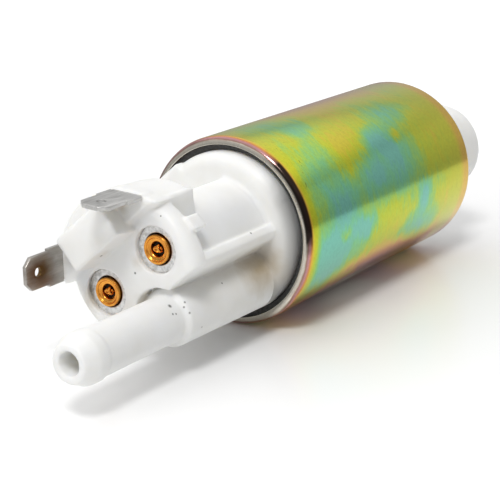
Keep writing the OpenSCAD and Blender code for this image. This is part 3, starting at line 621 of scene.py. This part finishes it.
def makeSheet():
    bm = bmesh.new()
    bmesh.ops.create_grid(bm, x_segments=2, y_segments=2, size=sheet["size"])
    bmesh.ops.translate(bm, verts=bm.verts, vec=(0, 0, sheet["level"]))
    mesh = bpy.data.meshes.new("whiteSheet")
    bm.to_mesh(mesh)
    bm.free()
    mat, tree = newMaterial("white sheet")
    out = addNode(tree, "ShaderNodeOutputMaterial")
    paper = setInputs(addNode(tree, "ShaderNodeBsdfPrincipled"),
                      {"Base Color": (0.93, 0.93, 0.93, 1), "Roughness": 0.25, "Specular IOR Level": 0.5})
    glow = setInputs(addNode(tree, "ShaderNodeEmission"), {"Color": (1, 1, 1, 1)})
    light = addNode(tree, "ShaderNodeLightPath")
    added = addNode(tree, "ShaderNodeAddShader")
    seen = addNode(tree, "ShaderNodeMixShader")
    tree.links.new(paper.outputs[0], added.inputs[0])
    tree.links.new(glow.outputs[0], added.inputs[1])
    tree.links.new(light.outputs["Is Camera Ray"], seen.inputs[0])
    tree.links.new(paper.outputs[0], seen.inputs[1])
    tree.links.new(added.outputs[0], seen.inputs[2])
    # in reflections the sheet ends a hand's breadth behind the pump
    clear = addNode(tree, "ShaderNodeBsdfTransparent")
    far = addNode(tree, "ShaderNodeMixShader")
    length = addNode(tree, "ShaderNodeVectorMath", operation="LENGTH")
    tree.links.new(objectCoords(tree, scale=(1, 1, 0)), length.inputs[0])
    tree.links.new(ramp(tree, length.outputs["Value"], sheet["glow"]), glow.inputs["Strength"])
    beyond = calc(tree, "GREATER_THAN", length.outputs["Value"], sheet["reach"])
    beyond = calc(tree, "MULTIPLY", beyond, light.outputs["Is Glossy Ray"])
    tree.links.new(beyond, far.inputs[0])
    tree.links.new(seen.outputs[0], far.inputs[1])
    tree.links.new(clear.outputs[0], far.inputs[2])
    tree.links.new(far.outputs[0], out.inputs["Surface"])
    mesh.materials.append(mat)
    obj = bpy.data.objects.new("whiteSheet", mesh)
    scene.collection.objects.link(obj)


makeSheet()

studio = {"fill": [(0.5, 0.02), (0.61, 0.20), (0.74, 0.79), (1.0, 0.91)],
          "side": [(0.25, 1.45), (0.5, 1.2), (0.75, 0.4)], "room": [(0.5, 0.42), (0.60, 0.54), (0.68, 0.60), (0.71, 0.50), (0.74, 0.66), (0.79, 1.0)],
          "key": 7.5, "keySize": 0.3, "keyPlace": (0.286, -0.715, 1.04)}


def makeWorld():
    world = bpy.data.worlds.new("studio")
    scene.world = world
    world.use_nodes = True
    tree = world.node_tree
    tree.nodes.clear()
    out = addNode(tree, "ShaderNodeOutputWorld")
    light = addNode(tree, "ShaderNodeLightPath")
    coord = addNode(tree, "ShaderNodeTexCoord")
    split = addNode(tree, "ShaderNodeSeparateXYZ")
    tree.links.new(coord.outputs["Generated"], split.inputs[0])
    low = addNode(tree, "ShaderNodeBackground")
    mirrored = addNode(tree, "ShaderNodeBackground")
    height = calc(tree, "ADD", calc(tree, "MULTIPLY", split.outputs["Z"], 0.5), 0.5)
    across = calc(tree, "ADD", calc(tree, "MULTIPLY", split.outputs["X"], 0.5), 0.5)
    tree.links.new(mixColour(tree, 1.0, ramp(tree, height, studio["fill"]), ramp(tree, across, studio["side"]), "MULTIPLY"),
                   low.inputs["Color"])
    room = ramp(tree, height, studio["room"])
    tree.links.new(room, mirrored.inputs["Color"])
    white = setInputs(addNode(tree, "ShaderNodeBackground"), {"Color": (1, 1, 1, 1), "Strength": 1.0})
    first = addNode(tree, "ShaderNodeMixShader")
    second = addNode(tree, "ShaderNodeMixShader")
    tree.links.new(light.outputs["Is Glossy Ray"], first.inputs[0])
    tree.links.new(low.outputs[0], first.inputs[1])
    tree.links.new(mirrored.outputs[0], first.inputs[2])
    tree.links.new(light.outputs["Is Camera Ray"], second.inputs[0])
    tree.links.new(first.outputs[0], second.inputs[1])
    tree.links.new(white.outputs[0], second.inputs[2])
    tree.links.new(second.outputs[0], out.inputs["Surface"])


makeWorld()


def areaLamp(name, place, target, power, size):
    data = bpy.data.lights.new(name, "AREA")
    data.energy = power
    data.size = size
    lamp = bpy.data.objects.new(name, data)
    lamp.location = place
    lamp.rotation_euler = (Vector(target) - Vector(place)).to_track_quat("-Z", "Y").to_euler()
    scene.collection.objects.link(lamp)


areaLamp("keyLamp", studio["keyPlace"], (0, 0, 0), studio["key"], studio["keySize"])

photoView = {"place": (0.16365, -0.27355, 0.08271), "yaw": 33.55, "down": 16.63, "roll": -0.33, "lens": 110.6}
eye = bpy.data.objects.new("photoCamera", bpy.data.cameras.new("photoCamera"))
eye.data.lens = photoView["lens"]
eye.data.sensor_width = 36
eye.data.clip_start = 0.01
eye.matrix_world = (Matrix.Translation(photoView["place"]) @ Matrix.Rotation(math.radians(photoView["yaw"]), 4, "Z")
                    @ Matrix.Rotation(math.radians(90 - photoView["down"]), 4, "X")
                    @ Matrix.Rotation(math.radians(photoView["roll"]), 4, "Z"))
scene.collection.objects.link(eye)
scene.camera = eye
scene.view_settings.view_transform = "Standard"
print("sheet, light and camera ready")
